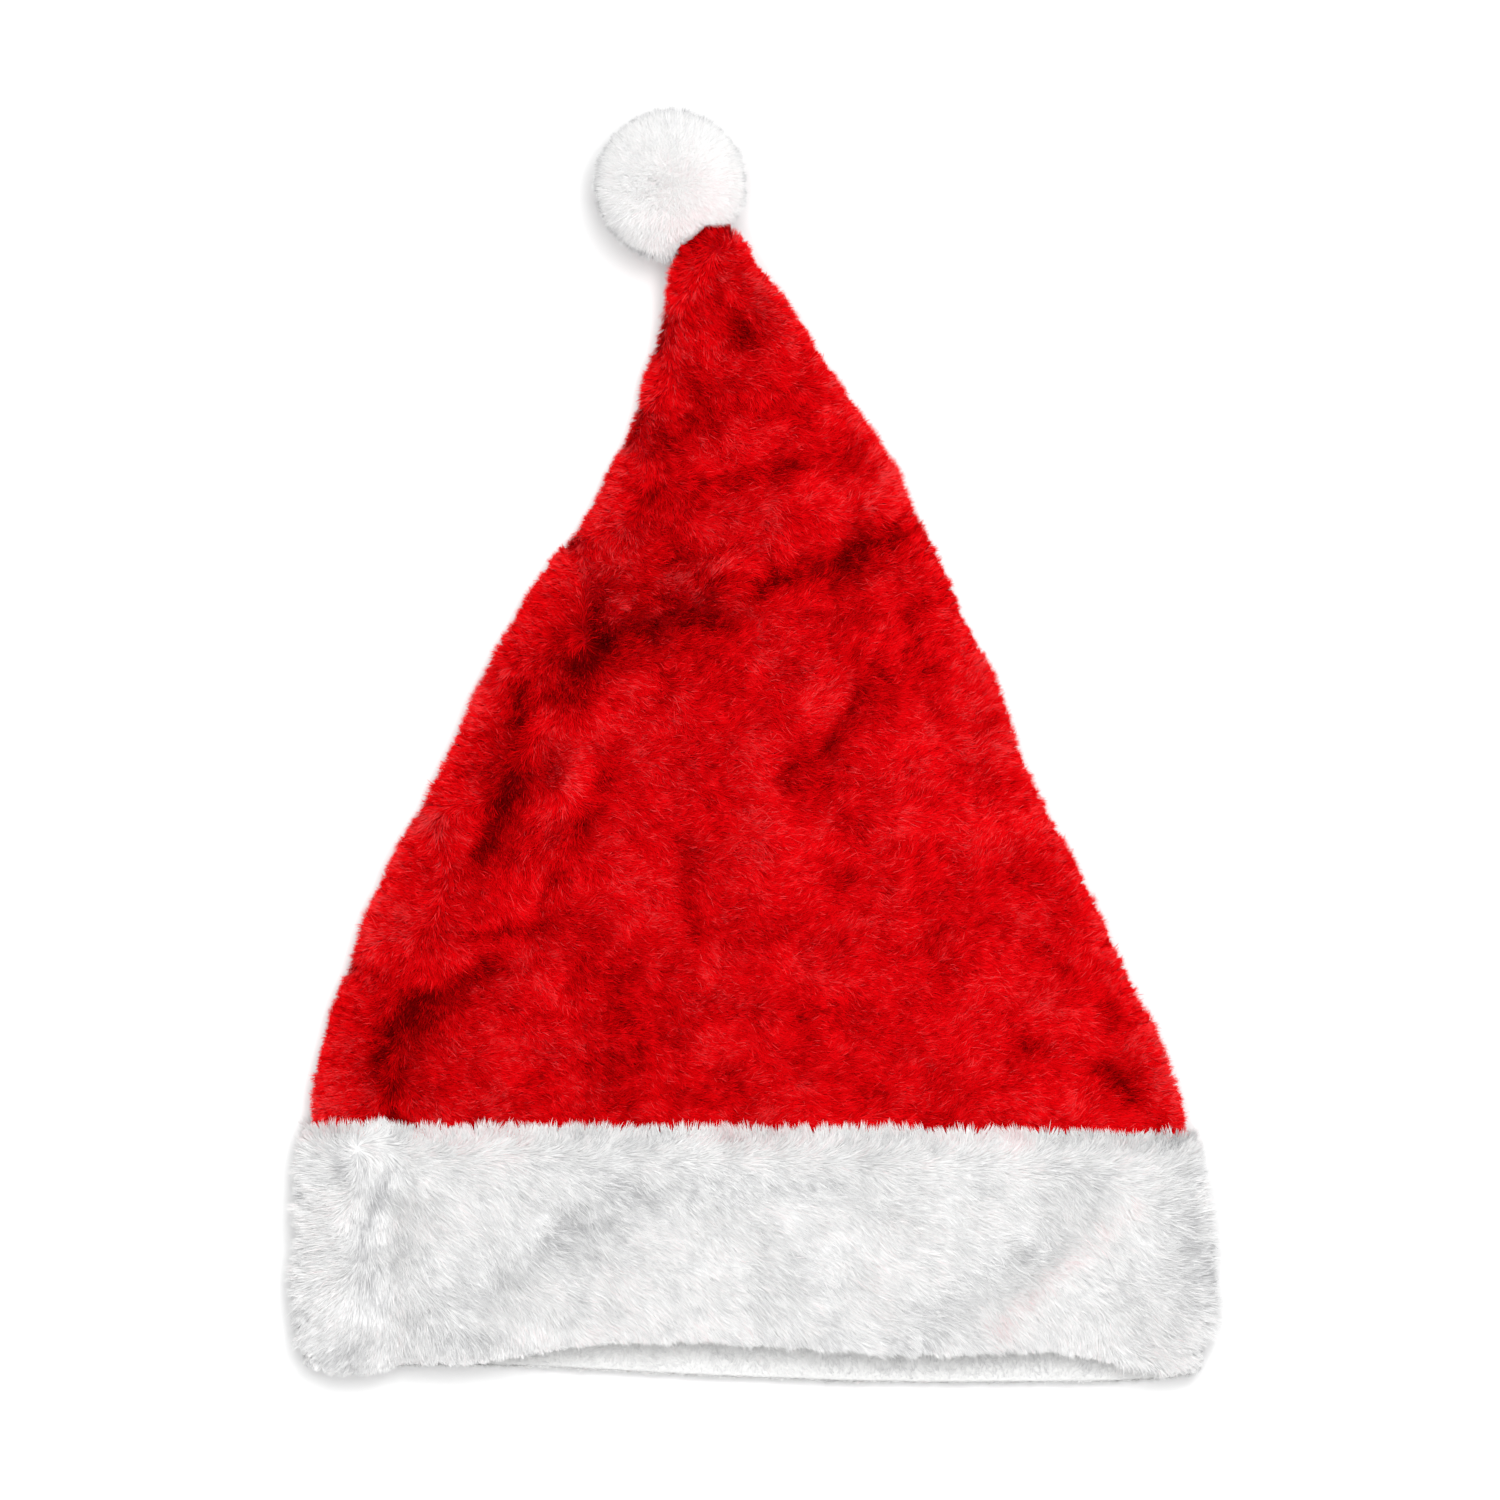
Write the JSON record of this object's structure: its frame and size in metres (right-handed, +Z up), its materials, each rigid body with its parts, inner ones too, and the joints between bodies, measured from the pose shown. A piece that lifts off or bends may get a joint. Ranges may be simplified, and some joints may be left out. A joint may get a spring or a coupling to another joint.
{
  "type": "santa hat",
  "caption": "Plush santa hat lying flat: a tall soft red cone with a wide white fur band round its open mouth and a white fur pompom on the tip.",
  "frame": {"origin": "centre of the whole hat's footprint, on the surface that it lies on", "axes": "+Z up off the surface, +Y from the mouth towards the tip and pompom, +X across the hat to the right as seen from above"},
  "size_m": [0.2984, 0.4079, 0.0478],
  "materials": {
    "red_plush": "short swirling plush pile, matt with a soft sheen",
    "white_fur": "deep soft faux-fur pile, matt",
    "pompom_fur": "fine trimmed fur, matt"
  },
  "bodies": {
    "root": {"crown": "red_plush", "band": "white_fur", "pompom": "pompom_fur"}
  },
  "joints": []
}
